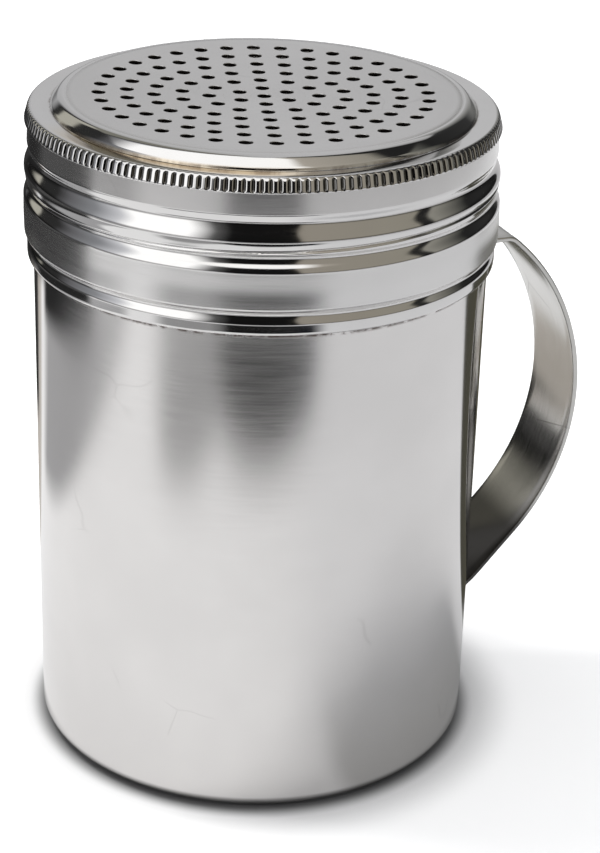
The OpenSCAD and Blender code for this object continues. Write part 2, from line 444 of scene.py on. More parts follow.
def steel(name, tint, rough, rough_spread, streak_depth, spin=0.0):
    """A stainless material on the turned finish; returns its parts for extra dirt."""
    material, tree, shader = new_material(name)
    finish = tree.nodes.new("ShaderNodeGroup")
    finish.node_tree = bpy.data.node_groups["Turned finish"]
    shader.inputs["Metallic"].default_value = 1.0
    shader.inputs["Anisotropic"].default_value = spin
    if spin:
        tangent = tree.nodes.new("ShaderNodeTangent")
        tangent.direction_type = "RADIAL"
        tangent.axis = "Z"
        tree.links.new(tangent.outputs[0], shader.inputs["Tangent"])
    dark = tuple(0.94 * c for c in tint) + (1.0,)
    clouds, streaks = finish.outputs["Clouds"], finish.outputs["Streaks"]
    colour = mix_colour(tree, span(tree, clouds, 0.35, 0.7), dark, tint + (1.0,))
    wear = plus(tree, times(tree, finish.outputs["Pits"], 0.8),
                times(tree, finish.outputs["Hairlines"], 0.10))
    colour = mix_colour(tree, wear, colour, (0.10, 0.085, 0.075, 1.0))
    value = plus(tree, span(tree, streaks, 0.3, 0.7, rough - rough_spread, rough + rough_spread),
                 span(tree, clouds, 0.3, 0.75, 0.0, rough_spread))
    relief(tree, shader, maths(tree, "SUBTRACT", streaks, times(tree, wear, 2.0)), streak_depth)
    return material, tree, shader, finish, colour, value


def close_steel(tree, shader, colour, value):
    """Links the finished colour and roughness."""
    tree.links.new(colour, shader.inputs["Base Color"])
    tree.links.new(value, shader.inputs["Roughness"])


def darken_in_spots(tree, colour, value, mask, scale, tone):
    """Spots of this tone where mask is high, broken up by noise, and rougher there."""
    grain = noise_node(tree, object_place(tree), scale, 4.0, 0.65)
    spots = times(tree, mask, span(tree, grain, 0.36, 0.60))
    return mix_colour(tree, spots, colour, tone), plus(tree, value, times(tree, spots, 0.35))


def cup_steel(lid_bottom):
    """Brushed cup with a brown line under the lid."""
    material, tree, shader, finish, colour, value = steel(
        "Cup steel", (0.765, 0.750, 0.738), 0.20, 0.02, 0.0012 * MM, 0.4)
    height = finish.outputs["Height"]
    # a dark brown line on the cup just below the lid's lower edge, in spots
    mask = times(tree, span(tree, height, lid_bottom - 0.9 * MM, lid_bottom - 0.3 * MM),
                 span(tree, height, lid_bottom + 0.1 * MM, lid_bottom + 0.7 * MM, 1.0, 0.0))
    colour, value = darken_in_spots(tree, colour, value, mask, 700.0, (0.07, 0.04, 0.03, 1.0))
    weight = tree.nodes.new("ShaderNodeLayerWeight")
    grazing = span(tree, weight.outputs["Facing"], 0.40, 0.75, 1.0, 0.25)
    value = times(tree, value, grazing)
    close_steel(tree, shader, colour, value)
    return material


def lid_steel(edge, settings):
    """Pressed steel: satin on the disc, the skirt and the band, bright in the creases between."""
    material, tree, shader, finish, colour, value = steel(
        "Lid steel", (0.73, 0.722, 0.714), 0.065, 0.02, 0.0018 * MM, 0.4)
    radius, height = finish.outputs["Radius"], finish.outputs["Height"]
    disc = settings.disc_radius

    def zone(top, bottom, soft):
        """1 between two heights below the knurled edge."""
        return times(tree, span(tree, height, edge - bottom - soft, edge - bottom + soft),
                     span(tree, height, edge - top - soft, edge - top + soft, 1.0, 0.0))

    skirt = zone(2.3 * MM, 5.3 * MM, 0.2 * MM)
    band = zone(13.9 * MM, 19.4 * MM, 0.25 * MM)
    flat = times(tree, span(tree, height, edge + 0.7 * MM, edge + 0.9 * MM),
                 span(tree, radius, disc - 1.7 * MM, disc - 1.5 * MM, 1.0, 0.0))
    satin = plus(tree, times(tree, skirt, 0.11), times(tree, band, 0.15))
    satin = plus(tree, satin, times(tree, flat, 0.24))
    value = plus(tree, value, satin)

    # painted reflection: tan on the shoulder, only on the side that faces the camera
    shoulder = times(tree, span(tree, radius, disc + 0.5 * MM, disc + 0.8 * MM),
                     span(tree, radius, disc + 2.8 * MM, disc + 3.9 * MM, 1.0, 0.0))
    towards = plus(tree, times(tree, finish.outputs["X"], math.cos(FRONT + TAN_REFLECTION_TURN)),
                   times(tree, finish.outputs["Y"], math.sin(FRONT + TAN_REFLECTION_TURN)))
    ahead = maths(tree, "DIVIDE", towards, radius)
    tan_reflection = times(tree, shoulder, span(tree, ahead, 0.72, 0.93, 0.0, 0.85))
    above = span(tree, height, edge - 0.5 * MM, edge - 0.4 * MM)
    colour = mix_colour(tree, times(tree, tan_reflection, above), colour, (0.62, 0.53, 0.40, 1.0))

    # dirt in the groove at the foot of the disc's wall
    foot = times(tree, span(tree, radius, disc + 0.25 * MM, disc + 0.45 * MM),
                 span(tree, radius, disc + 0.75 * MM, disc + 1.3 * MM, 1.0, 0.0))
    low = span(tree, height, edge, edge + 0.4 * MM, 0.55, 0.0)
    colour, value = darken_in_spots(tree, colour, value, times(tree, foot, low), 300.0,
                          (0.17, 0.12, 0.09, 1.0))

    # painted shade: the insides of the holes, below the dished surface and within the disc, are
    # darkened almost to black
    share = maths(tree, "DIVIDE", radius, disc - DISH_MARGIN)
    dished = maths(tree, "SUBTRACT", 1.0, times(tree, share, share))
    top = maths(tree, "SUBTRACT", edge + settings.disc_rise, times(tree, dished, settings.dish))
    sunk = maths(tree, "SUBTRACT", top, height)
    hole = times(tree, span(tree, sunk, 0.05 * MM, 0.14 * MM),
                 span(tree, radius, disc - 4.6 * MM, disc - 4.3 * MM, 1.0, 0.0))
    hole = times(tree, hole, span(tree, height, edge - 0.2 * MM, edge))
    colour = mix_colour(tree, hole, colour, (0.035, 0.028, 0.025, 1.0))
    value = plus(tree, value, times(tree, hole, 0.4))

    # painted shade: the knurl's grooves are darkened almost to black, most where they are deepest
    grooves = tree.nodes.new("ShaderNodeAttribute")
    grooves.attribute_name = KNURL_GROOVE_SHADE
    groove_shade = span(tree, grooves.outputs["Fac"], 0.04, 0.3, 0.0, 0.93)
    colour = mix_colour(tree, groove_shade, colour, (0.05, 0.047, 0.042, 1.0))
    close_steel(tree, shader, colour, value)
    return material


def strap_steel():
    """The satin strap, brushed along its length."""
    material, tree, shader = new_material("Strap steel")
    place = object_place(tree)
    x, y, z = parts(tree, place)
    stretched = combine(tree, times(tree, x, 60.0), times(tree, y, 4200.0), times(tree, z, 60.0))
    grain = noise_node(tree, stretched, 1.0, 3.0)
    clouds = noise_node(tree, place, 60.0, 4.0)
    cells = tree.nodes.new("ShaderNodeTexVoronoi")
    cells.feature = "DISTANCE_TO_EDGE"
    cells.inputs["Scale"].default_value = 90.0
    tree.links.new(place, cells.inputs["Vector"])
    scratch = times(tree, span(tree, cells.outputs["Distance"], 0.0, 0.015, 1.0, 0.0),
                    span(tree, noise_node(tree, place, 85.0, 1.0), 0.58, 0.66))
    colour = mix_colour(tree, span(tree, clouds, 0.35, 0.7), (0.56, 0.552, 0.53, 1.0),
                        (0.66, 0.652, 0.635, 1.0))
    colour = mix_colour(tree, times(tree, scratch, 0.5), colour, (0.16, 0.15, 0.14, 1.0))
    # painted shade: the strap below about 30 mm, where it stands off the wall, is darkened almost
    # to black, standing in for the cup hiding what it reflects
    foot = times(tree, span(tree, z, 27 * MM, 33 * MM, 0.9, 0.0),
                 span(tree, x, 35.2 * MM, 35.8 * MM))
    colour = mix_colour(tree, foot, colour, (0.04, 0.038, 0.035, 1.0))
    value = plus(tree, span(tree, grain, 0.3, 0.7, 0.13, 0.19),
                 span(tree, clouds, 0.3, 0.7, 0.0, 0.04))
    relief(tree, shader, maths(tree, "SUBTRACT", grain, scratch), 0.0015 * MM)
    shader.inputs["Metallic"].default_value = 1.0
    close_steel(tree, shader, colour, value)
    return material


def weld_steel():
    """Heat-tinted pressed weld marks."""
    material, tree, shader = new_material("Weld steel")
    place = object_place(tree)
    grain = noise_node(tree, place, 900.0, 4.0)
    tint = noise_node(tree, place, 240.0, 2.0)
    colour = mix_colour(tree, span(tree, tint, 0.35, 0.65), (0.36, 0.30, 0.24, 1.0),
                        (0.52, 0.50, 0.47, 1.0))
    relief(tree, shader, grain, 0.03 * MM)
    shader.inputs["Metallic"].default_value = 1.0
    close_steel(tree, shader, colour, span(tree, grain, 0.3, 0.7, 0.38, 0.55))
    return material


# ---------------------------------------------------------------- the cup


def cup_measures():
    """Radius, height and lid places read from the frame."""
    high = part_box("cup")[1]
    lid_low, lid_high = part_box("lid")
    settings = bpy.context.scene.shaker_lid
    edge = lid_high.z - settings.disc_rise
    return {"radius": high.y, "mouth": high.z, "edge": edge, "lid_low": lid_low.z,
            "rim": high.y + RIM_OUT}


def build_cup():
    """The cup's whole surface, with the rolled thread on its neck."""
    settings = bpy.context.scene.shaker_cup
    lid = bpy.context.scene.shaker_lid
    pitch = lid.thread_pitch
    place = cup_measures()
    radius, mouth, edge = place["radius"], place["mouth"], place["edge"]
    rounding, sheet = settings.base_round, settings.sheet
    neck = radius - settings.neck_step
    step_low, step_high = edge - 19.6 * MM, edge - 17.4 * MM
    thread_low = edge - 12.6 * MM + pitch / 2

    def wall(height, angle):
        """Outside radius at this height, the thread included."""
        plain = radius + (neck - radius) * smooth(step_low, step_high, height)
        along = (angle / TURN - THREAD_START) % 1.0
        middle = thread_low + pitch * along
        ends = smooth(0.0, 0.13, along) * smooth(lid.thread_turns, lid.thread_turns - 0.13, along)
        return plain + settings.ridge * ends * bump(height - middle, 0.95 * MM)

    columns = settings.columns
    bm = bmesh.new()
    floor_line = [(0.2 * MM, 0.0), (radius * 0.45, 0.0), (radius * 0.8, 0.0)]
    floor_line += arc((radius - rounding, rounding), rounding, -90, 0, 12)
    straight = [rounding + (step_low - rounding) * k / 24 for k in range(1, 25)]
    threaded_rows = 96
    threaded = [step_low + (mouth - 0.7 * MM - step_low) * k / threaded_rows
                for k in range(1, threaded_rows + 1)]
    rings = [[polar(r, TURN * i / columns, z) for i in range(columns)] for r, z in floor_line]
    rings += [[polar(wall(z, TURN * i / columns), TURN * i / columns, z) for i in range(columns)]
              for z in straight + threaded]
    curl = 0.35 * MM
    lip = arc((neck - curl, mouth - curl), curl, 20, 90, 5)
    lip += arc((radius - 2.6 * MM + curl, mouth - curl), curl, 90, 270, 8)
    lip += [(neck - sheet, mouth - 1.7 * MM), (neck - sheet, step_high)]
    lip += [(radius - sheet, step_low), (radius - sheet, rounding)]
    lip += arc((radius - rounding, rounding), rounding - sheet, 0, -90, 8)
    lip += [(radius * 0.5, sheet), (0.2 * MM, sheet)]
    rings += [[polar(r, TURN * i / columns, z) for i in range(columns)] for r, z in lip]
    add_rings(bm, rings)
    return finish_mesh(bm, "cup_body", cup_steel(place["lid_low"]), "shaker", ["cup"])


# ---------------------------------------------------------------- the lid


def dish_height(x, y, settings, edge):
    """Height of the disc's top surface."""
    reach = settings.disc_radius - DISH_MARGIN
    share = min(1.0, math.hypot(x, y) / reach)
    return edge + settings.disc_rise - settings.dish * (1 - share * share)


def cell_outline(ring, index, pitch, phase):
    """Boundary points of one hole's cell, and the hole's centre."""
    per_side = 8
    if ring == 0:
        count = 4 * per_side
        return [polar(pitch / 2, TURN * k / count, 0) for k in range(count)], Vector()
    half = TURN / (12 * ring)
    middle = 2 * half * index + phase
    low, high = (ring - 0.5) * pitch, (ring + 0.5) * pitch
    points = []
    for k in range(per_side):
        points.append(polar(high, middle - half + 2 * half * k / per_side, 0))
    for k in range(per_side):
        points.append(polar(high + (low - high) * k / per_side, middle + half, 0))
    for k in range(per_side):
        points.append(polar(low, middle + half - 2 * half * k / per_side, 0))
    for k in range(per_side):
        points.append(polar(low + (high - low) * k / per_side, middle - half, 0))
    return points, polar(ring * pitch, middle, 0)


def hole_loops(outline, centre, settings, edge):
    """Loops of (point, normal) from the cell's edge into the hole and out under the sheet."""
    hole = settings.hole_diameter / 2
    steps = [(0.16, 0.0, 0.0), (0.09, 0.02, 0.35), (0.03, 0.07, 0.75), (0.0, 0.15, 1.0)]
    reach = (settings.disc_radius - DISH_MARGIN) ** 2

    def top(x, y):
        slope = 2 * settings.dish / reach
        return dish_height(x, y, settings, edge), Vector((-slope * x, -slope * y, 1)).normalized()

    loops = []
    for share in (0.0, 0.5):
        loop = []
        for p in outline:
            out = (p - centre).normalized()
            inner = centre + out * (hole + 0.16 * MM)
            q = p.lerp(inner, share)
            z, up = top(q.x, q.y)
            loop.append((Vector((q.x, q.y, z)), up))
        loops.append(loop)
    for extra, drop, lean in steps:
        loop = []
        for p in outline:
            out = (p - centre).normalized()
            q = centre + out * (hole + extra * MM)
            z, up = top(q.x, q.y)
            facing = (up * (1 - lean) - out * lean).normalized()
            loop.append((Vector((q.x, q.y, z - drop * MM)), facing))
        loops.append(loop)
    for grow, drop, facing_down in ((0.0, 0.42, 0.0), (0.08, 0.5, 1.0)):
        loop = []
        for p in outline:
            out = (p - centre).normalized()
            q = centre + out * (hole + grow * MM)
            z, up = top(q.x, q.y)
            facing = -out if not facing_down else -up
            loop.append((Vector((q.x, q.y, z - drop * MM)), facing))
        loops.append(loop)
    under = []
    for p in outline:
        z, up = top(p.x, p.y)
        under.append((Vector((p.x, p.y, z - settings.sheet)), -up))
    loops.append(under)
    return loops


def build_disc(material):
    """The dished disc with its rings of punched holes."""
    settings = bpy.context.scene.shaker_lid
    edge = cup_measures()["edge"]
    verts, normals, faces = [], [], []
    for ring in range(settings.hole_rings + 1):
        for index in range(max(1, 6 * ring)):
            outline, centre = cell_outline(ring, index, settings.ring_pitch, settings.hole_turn)
            loops = hole_loops(outline, centre, settings, edge)
            start, count = len(verts), len(outline)
            for loop in loops:
                verts += [p for p, _ in loop]
                normals += [n for _, n in loop]
            for row in range(len(loops) - 1):
                for i in range(count):
                    j = (i + 1) % count
                    a, b = start + row * count, start + (row + 1) * count
                    faces.append((a + i, a + j, b + j, b + i))
    bm = bmesh.new()
    made = [bm.verts.new(v) for v in verts]
    for f in faces:
        bm.faces.new([made[i] for i in f])
    piece = place_mesh(bm, "lid_disc", material)
    shade_smooth(piece.data)
    piece.data.normals_split_custom_set_from_vertices(normals)
    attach(piece, "cap")
    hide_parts("lid")
    return piece


def build_crown(material):
    """Disc edge, its wall, the groove at its foot and the sloping shoulder, inside and out."""
    settings = bpy.context.scene.shaker_lid
    place = cup_measures()
    edge, rim = place["edge"], place["rim"]
    disc, rise, sheet = settings.disc_radius, settings.disc_rise, settings.sheet
    start = (settings.hole_rings + 0.5) * settings.ring_pitch
    turn = 1.5 * MM
    top = [(r, dish_height(r, 0, settings, edge))
           for r in (start, start + 0.3 * MM, start + 1.2 * MM, disc - 2.4 * MM, disc - 1.62 * MM)]
    top += [(disc - 1.55 * MM, edge + rise - 0.05 * MM)]
    top += arc((disc - 1.32 * MM, edge + rise - turn), turn, 84, 42, 10)
    top += [(disc + 0.10 * MM, edge + 0.88 * MM), (disc + 0.47 * MM, edge + 0.46 * MM),
            (disc + 0.80 * MM, edge + 0.06 * MM)]
    top += arc((disc + 0.98 * MM, edge), 0.18 * MM, 200, 285, 6)
    top += [(disc + 1.4 * MM, edge - 0.17 * MM), (rim - 2.3 * MM, edge - 0.12 * MM),
            (rim - 1.6 * MM, edge - 0.03 * MM), (rim - 1.05 * MM, edge)]
    bm = bmesh.new()
    revolve(bm, top, settings.columns, flip=True)
    inside = rim - settings.knurl_depth - sheet
    seat = place["mouth"]
    under = [(inside, edge - 2.4 * MM), (inside, edge - 1.3 * MM)]
    under += arc((inside - 0.4 * MM, seat - 0.35 * MM), 0.35 * MM, 0, 90, 4)
    under += [(disc + 0.7 * MM, seat + 0.02 * MM), (disc - sheet, seat + 0.2 * MM)]
    under += [(disc - sheet, edge + rise - 1.1 * MM), (disc - 1.2 * MM, edge + rise - sheet)]
    under += [(start, dish_height(start, 0, settings, edge) - sheet)]
    revolve(bm, under, settings.columns, flip=True)
    return finish_mesh(bm, "lid_crown", material, "cap")


def build_knurl(material):
    """The coined edge: pressed grooves that vary a little from one to the next."""
    settings = bpy.context.scene.shaker_lid
    place = cup_measures()
    edge, rim = place["edge"], place["rim"]
    per_groove = 10
    columns = settings.knurl_grooves * per_groove
    rows = [(-1.05, 0.0, 0.0), (-0.90, -0.03, 0.0), (-0.70, -0.17, 0.08), (-0.56, -0.33, 0.4),
            (-0.47, -0.48, 0.85), (-0.39, -0.66, 1.0), (-0.24, -1.2, 1.0), (-0.11, -1.66, 1.0),
            (-0.06, -1.82, 0.9), (0.0, -2.04, 0.1), (-0.03, -2.14, 0.0), (-0.14, -2.24, 0.0),
            (-0.4, -2.3, 0.0)]
    chance = random.Random(SEED)
    count = settings.knurl_grooves
    depths = [settings.knurl_depth * chance.uniform(0.75, 1.0) for _ in range(count)]
    leans = [chance.uniform(-0.35, 0.35) for _ in range(count)]
    rings, groove_shade = [], []
    for out, drop, share in rows:
        ring = []
        for i in range(columns):
            groove = i // per_groove
            local = (i % per_groove) / per_groove - 0.5
            shape = max(0.0, 1 - abs(local + 0.06 * leans[groove]) / 0.26)
            depth = depths[groove] * share * shape
            ring.append(polar(rim + out * MM - depth, TURN * i / columns, edge + drop * MM))
            groove_shade.append(share * shape)
        rings.append(ring)
    bm = bmesh.new()
    add_rings(bm, rings, flip=True)
    piece = finish_mesh(bm, "lid_knurl", material, "cap")
    # each point's groove depth, kept for the painted shade in the knurl's grooves
    layer = piece.data.attributes.new(KNURL_GROOVE_SHADE, "FLOAT", "POINT")
    layer.data.foreach_set("value", groove_shade)
    return piece


def build_wall(material):
    """Skirt, rolled thread, plain band and bottom bead, then back up the inside."""
    settings = bpy.context.scene.shaker_lid
    place = cup_measures()
    edge, rim, sheet = place["edge"], place["rim"], settings.sheet
    skirt, pitch = rim - 0.4 * MM, settings.thread_pitch
    crease, crest, band = skirt - 0.3 * MM, skirt + 0.6 * MM, skirt + 0.75 * MM
    waist, hollow, bead = skirt - 0.1 * MM, skirt, rim - 0.05 * MM
    bottom = edge - place["lid_low"]
    curve = [(2.3, skirt - 0.08 * MM), (5.4, skirt + 0.08 * MM), (6.6, crease), (9.3, crest),
             (11.0, crest - 0.22 * MM), (11.75, waist), (13.8, band), (19.1, band),
             (20.3, hollow - 0.1 * MM), (21.6, bead), (24.0, bead)]

    def outside(drop, angle):
        """Outside radius this far below the knurled edge."""
        down = drop / MM
        r = curve[0][1]
        for (low, first), (high, second) in zip(curve, curve[1:]):
            if down >= low:
                share = min(1.0, (down - low) / (high - low))
                if low > 2.3:
                    share = smooth(0, 1, share)
                r = first + (second - first) * share
        r += 0.04 * MM * bump(down - 16.5, 2.7)
        along = (angle - FRONT + math.pi) % TURN - math.pi
        middle = 10.75 * MM - pitch * along / TURN
        return r - 0.34 * MM * bump(drop - middle, 0.34 * MM)

    columns = settings.columns
    angles = [TURN * i / columns for i in range(columns)]
    tip = 0.45 * MM
    drops = [KNURL_HEIGHT + (bottom - tip - KNURL_HEIGHT) * k / 170 for k in range(171)]
    rings = [[polar(outside(d, a), a, edge - d) for a in angles] for d in drops]
    tube = sheet / 2
    for k in range(1, 9):
        turn = math.pi * k / 8
        reach = bead - tube + tube * math.cos(turn)
        level = edge - bottom + tip - tip * math.sin(turn)
        rings.append([polar(reach, a, level) for a in angles])
    lowest, highest = bottom - 0.5 * MM, 2.4 * MM
    inner_drops = [lowest - (lowest - highest) * k / 90 for k in range(1, 91)]
    clear = place["radius"] + 0.35 * MM
    rings += [[polar(max(outside(d, a) - sheet, clear if d > 18 * MM else 0), a, edge - d)
               for a in angles] for d in inner_drops]
    bm = bmesh.new()
    add_rings(bm, rings, flip=True)
    return finish_mesh(bm, "lid_wall", material, "cap")


# ---------------------------------------------------------------- the handle


def strap_path(settings, wall, top):
    """Middle line of the strap in its own plane, as (reach, height)."""
    middle = wall + STRAP_GAP + settings.thickness / 2
    lean, back = math.tan(settings.head_slope), math.tan(settings.foot_slope)
    head = Vector((middle + 4.6 * MM, top))
    foot = Vector((middle, settings.foot))
    height = (head.x - foot.x + head.y * lean + foot.y * back) / (lean + back)
    bow = Vector((head.x + (head.y - height) * lean, height))
    half = (settings.head_slope + settings.foot_slope) / 2
    share = math.cos((settings.head_slope - settings.foot_slope) / 2) / math.cos(half) - 1
    bow_round = (bow.x + settings.thickness / 2 - wall - settings.reach) / share
    corners = [
        Vector((middle, top - settings.upper_tab)),
        Vector((middle, top)),
        head,
        bow,
        foot,
        Vector((middle, settings.foot - settings.lower_tab)),
    ]
    rounds = [0, 1.4 * MM, 2.6 * MM, bow_round, 2.2 * MM, 0]
    points = [corners[0]]
    for i in range(1, len(corners) - 1):
        before = (corners[i] - corners[i - 1]).normalized()
        after = (corners[i + 1] - corners[i]).normalized()
        turn = before.angle_signed(after)
        swing = abs(turn)
        reach = rounds[i] * math.tan(swing / 2)
        side = -1 if turn > 0 else 1
        left = Vector((-before.y, before.x)) * side
        centre = corners[i] - before * reach + left * rounds[i]
        steps = 40 if rounds[i] > 10 * MM else 12
        for k in range(steps + 1):
            angle = side * swing * k / steps
            spoke = -left
            turned = Vector((spoke.x * math.cos(angle) - spoke.y * math.sin(angle),
                             spoke.x * math.sin(angle) + spoke.y * math.cos(angle)))
            points.append(centre + turned * rounds[i])
    points.append(corners[-1])
    return fill_in(points, 1.0 * MM)


def fill_in(points, gap):
    """Adds points so that none are further apart than gap."""
    full = [points[0]]
    for a, b in zip(points, points[1:]):
        length = (b - a).length
        if length < 1e-9:
            continue
        parts = max(1, math.ceil(length / gap))
        full += [a.lerp(b, k / parts) for k in range(1, parts + 1)]
    return full


def strap_section(width, thickness):
    """Points round the strap's cut end: rolled corners and a slightly crowned face."""
    corner = 0.22 * MM
    points = []
    for side, up, start in ((1, 1, 0), (-1, 1, 90), (-1, -1, 180), (1, -1, 270)):
        cx, cy = side * (width / 2 - corner), up * (thickness / 2 - corner)
        points += [(cx + corner * math.cos(math.radians(start + 30 * k)),
                    cy + corner * math.sin(math.radians(start + 30 * k))) for k in range(4)]
        if side == up:
            flat = width - 2 * corner
            across = [k / 8 for k in range(1, 8)]
            points += [(cx - side * flat * share, up * thickness / 2) for share in across]
    return points


def build_handle():
    """The bent strap; its tabs hug the round wall."""
    settings = bpy.context.scene.shaker_handle
    place = cup_measures()
    path = strap_path(settings, place["radius"], place["lid_low"] - settings.lid_gap)
    section = strap_section(settings.width, settings.thickness)
    corner = 2.5 * MM
    lengths = [0.0]
    for a, b in zip(path, path[1:]):
        lengths.append(lengths[-1] + (b - a).length)
    total = lengths[-1]
    rings = []
    for i, point in enumerate(path):
        before = path[max(0, i - 1)]
        after = path[min(len(path) - 1, i + 1)]
        along = (after - before).normalized()
        across = Vector((along.y, -along.x))
        from_end = min(lengths[i], total - lengths[i])
        narrow = 1.0
        if from_end < corner:
            missing = corner - math.sqrt(max(0.0, corner ** 2 - (corner - from_end) ** 2))
            narrow = 1 - 2 * missing / settings.width
        tab = settings.upper_tab if lengths[i] < total / 2 else settings.lower_tab
        hug = 1 - smooth(tab - 2.0 * MM, tab + 2.5 * MM, from_end)
        ring = []
        for lateral, normal in section:
            reach = point.x + normal * across.x
            height = point.y + normal * across.y
            side = lateral * narrow
            flat = Vector((reach, side, height))
            bent = polar(reach, side / reach, height)
            ring.append(flat.lerp(bent, hug))
        rings.append(ring)
    bm = bmesh.new()
    made = add_rings(bm, rings)
    bm.faces.new(made[0][::-1])
    bm.faces.new(made[-1])
    bmesh.ops.recalc_face_normals(bm, faces=bm.faces)
    piece = finish_mesh(bm, "handle_strap", strap_steel(), "shaker", ["handle"])
    piece.data.set_sharp_from_angle(angle=math.radians(50))
    return piece


def build_welds():
    """Two pressed weld marks on each tab."""
    settings = bpy.context.scene.shaker_handle
    material = weld_steel()
    place = cup_measures()
    radius, top = place["radius"], place["lid_low"] - settings.lid_gap
    face = radius + STRAP_GAP + settings.thickness
    size = settings.weld_diameter / 2
    offset = settings.width / 4 - 0.1 * MM
    pieces = []
    groups = {
        "upper_welds": top - settings.upper_tab + size + 1.0 * MM,
        "lower_welds": settings.foot - settings.lower_tab + size + 0.7 * MM,
    }
    for node, height in groups.items():
        bm = bmesh.new()
        for side in (-1, 1):
            angle = math.asin(side * offset / radius)
            turn = Matrix.Rotation(angle, 4, "Z") @ Matrix.Translation((0, 0, height))
            rows = [(1.0, -0.12), (0.96, 0.02), (0.86, 0.05), (0.74, -0.01), (0.6, -0.03),
                    (0.4, 0.0), (0.2, 0.02), (0.02, 0.025)]
            rings = []
            for share, rise in rows:
                ring = []
                for k in range(40):
                    a = TURN * k / 40
                    wave = 1 + 0.03 * math.sin(3 * a + side) + 0.02 * math.sin(5 * a)
                    y = size * share * wave * math.cos(a)
                    z = size * share * wave * math.sin(a)
                    drop = face - math.sqrt(face ** 2 - y ** 2)
                    ring.append(turn @ Vector((face - drop + rise * MM, y, z)))
                rings.append(ring)
            add_rings(bm, rings)
        pieces.append(finish_mesh(bm, node + "_marks", material, "shaker", [node]))
    return pieces


# ---------------------------------------------------------------- the studio


def around(azimuth, distance, height):
    """A place seen from the camera: 0 degrees lies towards it, positive to its right."""
    return polar(distance, FRONT + math.radians(azimuth), height)


def build_camera():
    """The camera of the photograph, from its fitted place, pitch, yaw, roll and lens."""
    settings = bpy.context.scene.shaker_stage
    pitch, yaw, roll = settings.camera_pitch, settings.camera_yaw, settings.camera_roll
    turn = Matrix.Rotation(-HANDLE_BEHIND, 3, "Z")
    swing = turn @ Matrix.Rotation(yaw, 3, "Z")
    forward = swing @ Vector((0, math.cos(pitch), -math.sin(pitch)))
    up = swing @ Vector((0, math.sin(pitch), math.cos(pitch)))
    right = swing @ Vector((1, 0, 0))
    rolled_right = math.cos(roll) * right + math.sin(roll) * up
    rolled_up = -math.sin(roll) * right + math.cos(roll) * up
    data = bpy.data.cameras.new("Camera")
    data.lens = settings.lens
    data.sensor_width = 36.0
    data.clip_start = 0.01
    data.clip_end = 20.0
    camera = bpy.data.objects.new("Camera", data)
    basis = Matrix((rolled_right, rolled_up, -forward)).transposed().to_4x4()
    place = turn @ Vector((0, -settings.camera_distance, settings.camera_height))
    camera.matrix_world = Matrix.Translation(place) @ basis
    bpy.context.scene.collection.objects.link(camera)
    bpy.context.scene.camera = camera
    return camera


def area_light(name, azimuth, distance, height, size, power, colour):
    """A soft lamp aimed at the middle of the shaker."""
    data = bpy.data.lights.new(name, "AREA")
    data.shape = "RECTANGLE"
    data.size, data.size_y = size
    data.energy = power
    data.color = colour
    lamp = bpy.data.objects.new(name, data)
    place = around(azimuth, distance, height)
    lamp.location = place
    lamp.rotation_euler = (Vector((0, 0, 0.05)) - place).to_track_quat("-Z", "Y").to_euler()
    bpy.context.scene.collection.objects.link(lamp)
    lamp.visible_camera = False
    lamp.visible_glossy = False
    return lamp


def floor_lobe(tree, turn, reach, tip, first, last, near, bow, far, soft):
    """Shape of one soft patch on the floor: millimetres from the axis, degrees round it."""
    edge_soft = math.radians(soft)
    start, stop = math.radians(first), math.radians(last)
    beside = times(tree, span(tree, turn, start - edge_soft, start + edge_soft),
                   span(tree, turn, stop - edge_soft, stop + edge_soft, 1.0, 0.0))
    offset = maths(tree, "SUBTRACT", turn, math.radians(tip))
    edge = plus(tree, near * MM, times(tree, times(tree, offset, offset), bow * MM))
    inside = span(tree, maths(tree, "SUBTRACT", reach, edge), -9 * MM, 15 * MM)
    outside = span(tree, reach, far * MM, (far + 45) * MM, 1.0, 0.0)
    return times(tree, times(tree, beside, inside), outside)


# painted reflections and shadows, patches on the floor that only the steel sees, some standing in
# for the shaker's and the strap's shadows: azimuth of the tip, first and last azimuth in degrees
# from the camera's side, nearest reach, bow and far reach in millimetres, softness in degrees,
# depth and tone
PAINTED_REFLECTION_PATCHES = (
    ((0, -175, 175, 370, 0, 1200, 5), 0.85, (0.66, 0.65, 0.65)),
    ((-105, -151, -84, 305, 0, 1200, 2), 0.95, (0.05, 0.05, 0.05)),
    ((-80, -84, -58, 330, 0, 1200, 8), 0.6, (0.20, 0.20, 0.20)),
    ((2, -16, 19, 380, 0, 1200, 4), 0.85, (0.04, 0.04, 0.04)),
    ((-140, -178, -137, 60, 0, 215, 3), 0.75, (0.42, 0.37, 0.31)),
    ((2, -18, 27, 155, 180, 240, 5), 0.99, (0.0, 0.0, 0.0)),
    ((-34, -46, -15, 143, 330, 240, 5), 0.66, (0.05, 0.05, 0.05)),
    ((-118, -129, -62, 103, 122, 225, 5), 0.62, (0.08, 0.08, 0.09)),
    ((-120, -131, -84, 190, 40, 300, 3), 0.95, (0.0, 0.0, 0.0)),
    ((80, 28, 106, 20, 0, 40, 5), 0.35, (0.10, 0.10, 0.08)),
    ((125, 119, 168, 45, 0, 235, 1), 1.0, (0.09, 0.085, 0.06)),
    ((60, 20, 128, 50, 0, 300, 14), 0.12, (0.0, 0.02, 0.08)),
    ((-156, -168, -144, 126, 0, 1200, 3), 0.97, (0.02, 0.02, 0.02)),
    ((-138, -147, -128, 215, 0, 1200, 3), 0.97, (0.02, 0.02, 0.02)),
)


def studio_place(tree):
    """A stage point's azimuth from the camera's side, and its three parts."""
    turned = tree.nodes.new("ShaderNodeVectorRotate")
    turned.rotation_type = "Z_AXIS"
    turned.inputs["Angle"].default_value = -FRONT
    tree.links.new(object_place(tree), turned.inputs["Vector"])
    x, y, z = parts(tree, turned.outputs[0])
    return maths(tree, "ARCTAN2", y, x), x, y, z


